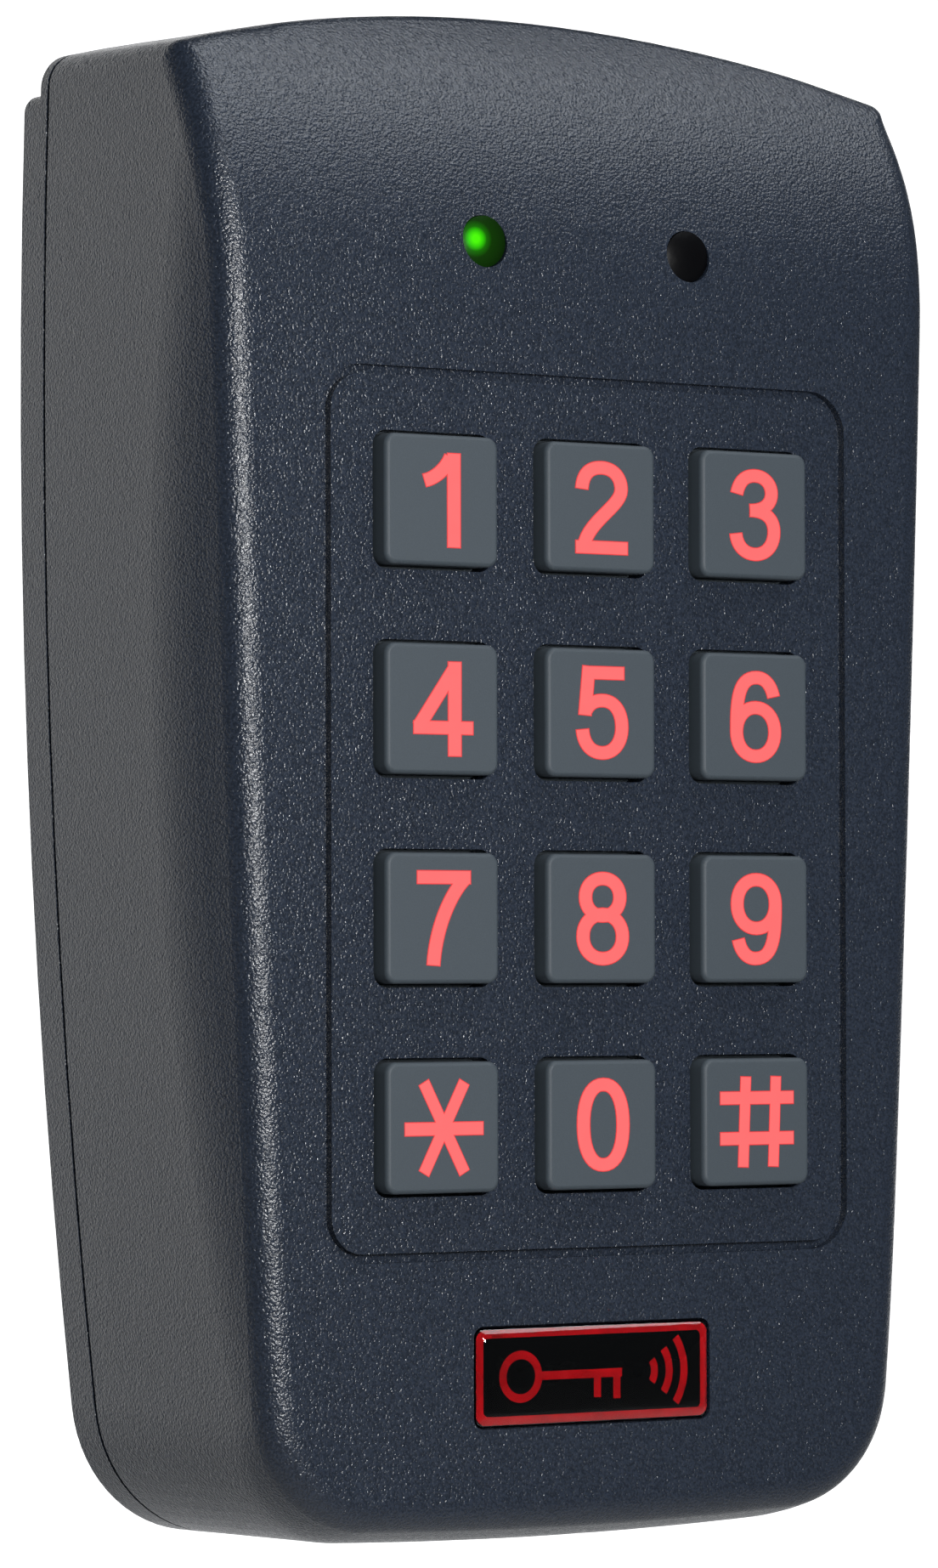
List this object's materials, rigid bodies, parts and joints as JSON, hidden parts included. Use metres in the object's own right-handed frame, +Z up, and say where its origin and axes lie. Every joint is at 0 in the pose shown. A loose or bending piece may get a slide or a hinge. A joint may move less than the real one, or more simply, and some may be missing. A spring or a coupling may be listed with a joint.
{
  "type": "keypad access reader",
  "caption": "Wall-mounted keypad access reader with sprung keys, status LEDs and a screwed two-part plastic housing.",
  "frame": {"origin": "midway between the two wall screws, on the wall face of the rear cover", "axes": "+Z up the wall, the keypad faces -Y, +Y goes into the wall, +X to the right seen from the front"},
  "size_m": [0.0838, 0.0349, 0.1443],
  "materials": {
    "housing": "fine leather-grain moulded plastic, satin",
    "key_plastic": "smooth matte moulded plastic with translucent legend",
    "seal_rubber": "matte black rubber",
    "silicone": "translucent silicone",
    "carbon_rubber": "matte carbon-loaded rubber",
    "circuit_board": "green solder resist",
    "steel": "bright zinc plated",
    "led_white": "moulded white package",
    "led_green": "tinted clear epoxy",
    "led_dark": "dark tinted epoxy, gloss",
    "chip_black": "moulded epoxy",
    "capacitor_sleeve": "shrink sleeve",
    "terminal_green": "moulded nylon",
    "copper": "enamelled copper wire",
    "brass": "turned brass",
    "badge_print": "printed label",
    "clear_resin": "clear domed resin"
  },
  "bodies": {
    "housing": {"front_cover": "housing", "rear_cover": "housing", "cover_seal": "seal_rubber", "keypad_mat": "silicone", "contact_pills": "carbon_rubber", "main_board": "circuit_board", "board_screws": "steel", "backlight_leds": "led_white", "left_status_led": "led_green", "right_status_led": "led_dark", "controller_chip": "chip_black", "reader_chip": "chip_black", "crystal": "steel", "voltage_regulator": "chip_black", "smoothing_capacitor": "capacitor_sleeve", "surge_diodes": "chip_black", "buzzer": "chip_black", "tamper_sensor": "chip_black", "terminal_block": "terminal_green", "terminal_screws": "steel", "antenna_coil": "copper", "cable_grommet": "seal_rubber", "case_screw": "steel", "screw_insert": "brass", "badge_label": "badge_print", "badge_resin": "clear_resin"},
    "key_1": {"key_1": "key_plastic"},
    "key_2": {"key_2": "key_plastic"},
    "key_3": {"key_3": "key_plastic"},
    "key_4": {"key_4": "key_plastic"},
    "key_5": {"key_5": "key_plastic"},
    "key_6": {"key_6": "key_plastic"},
    "key_7": {"key_7": "key_plastic"},
    "key_8": {"key_8": "key_plastic"},
    "key_9": {"key_9": "key_plastic"},
    "key_star": {"key_star": "key_plastic"},
    "key_0": {"key_0": "key_plastic"},
    "key_hash": {"key_hash": "key_plastic"}
  },
  "joints": [
    {"name": "key_1_press", "type": "slide", "parent": "housing", "child": "key_1", "axis": [0, 1, 0], "range_m": [0, 0.001], "stiffness_N_per_m": 200, "springref_m": -0.0015, "deforming": ["keypad_mat"]},
    {"name": "key_2_press", "type": "slide", "parent": "housing", "child": "key_2", "axis": [0, 1, 0], "range_m": [0, 0.001], "stiffness_N_per_m": 200, "springref_m": -0.0015, "deforming": ["keypad_mat"]},
    {"name": "key_3_press", "type": "slide", "parent": "housing", "child": "key_3", "axis": [0, 1, 0], "range_m": [0, 0.001], "stiffness_N_per_m": 200, "springref_m": -0.0015, "deforming": ["keypad_mat"]},
    {"name": "key_4_press", "type": "slide", "parent": "housing", "child": "key_4", "axis": [0, 1, 0], "range_m": [0, 0.001], "stiffness_N_per_m": 200, "springref_m": -0.0015, "deforming": ["keypad_mat"]},
    {"name": "key_5_press", "type": "slide", "parent": "housing", "child": "key_5", "axis": [0, 1, 0], "range_m": [0, 0.001], "stiffness_N_per_m": 200, "springref_m": -0.0015, "deforming": ["keypad_mat"]},
    {"name": "key_6_press", "type": "slide", "parent": "housing", "child": "key_6", "axis": [0, 1, 0], "range_m": [0, 0.001], "stiffness_N_per_m": 200, "springref_m": -0.0015, "deforming": ["keypad_mat"]},
    {"name": "key_7_press", "type": "slide", "parent": "housing", "child": "key_7", "axis": [0, 1, 0], "range_m": [0, 0.001], "stiffness_N_per_m": 200, "springref_m": -0.0015, "deforming": ["keypad_mat"]},
    {"name": "key_8_press", "type": "slide", "parent": "housing", "child": "key_8", "axis": [0, 1, 0], "range_m": [0, 0.001], "stiffness_N_per_m": 200, "springref_m": -0.0015, "deforming": ["keypad_mat"]},
    {"name": "key_9_press", "type": "slide", "parent": "housing", "child": "key_9", "axis": [0, 1, 0], "range_m": [0, 0.001], "stiffness_N_per_m": 200, "springref_m": -0.0015, "deforming": ["keypad_mat"]},
    {"name": "key_star_press", "type": "slide", "parent": "housing", "child": "key_star", "axis": [0, 1, 0], "range_m": [0, 0.001], "stiffness_N_per_m": 200, "springref_m": -0.0015, "deforming": ["keypad_mat"]},
    {"name": "key_0_press", "type": "slide", "parent": "housing", "child": "key_0", "axis": [0, 1, 0], "range_m": [0, 0.001], "stiffness_N_per_m": 200, "springref_m": -0.0015, "deforming": ["keypad_mat"]},
    {"name": "key_hash_press", "type": "slide", "parent": "housing", "child": "key_hash", "axis": [0, 1, 0], "range_m": [0, 0.001], "stiffness_N_per_m": 200, "springref_m": -0.0015, "deforming": ["keypad_mat"]}
  ]
}
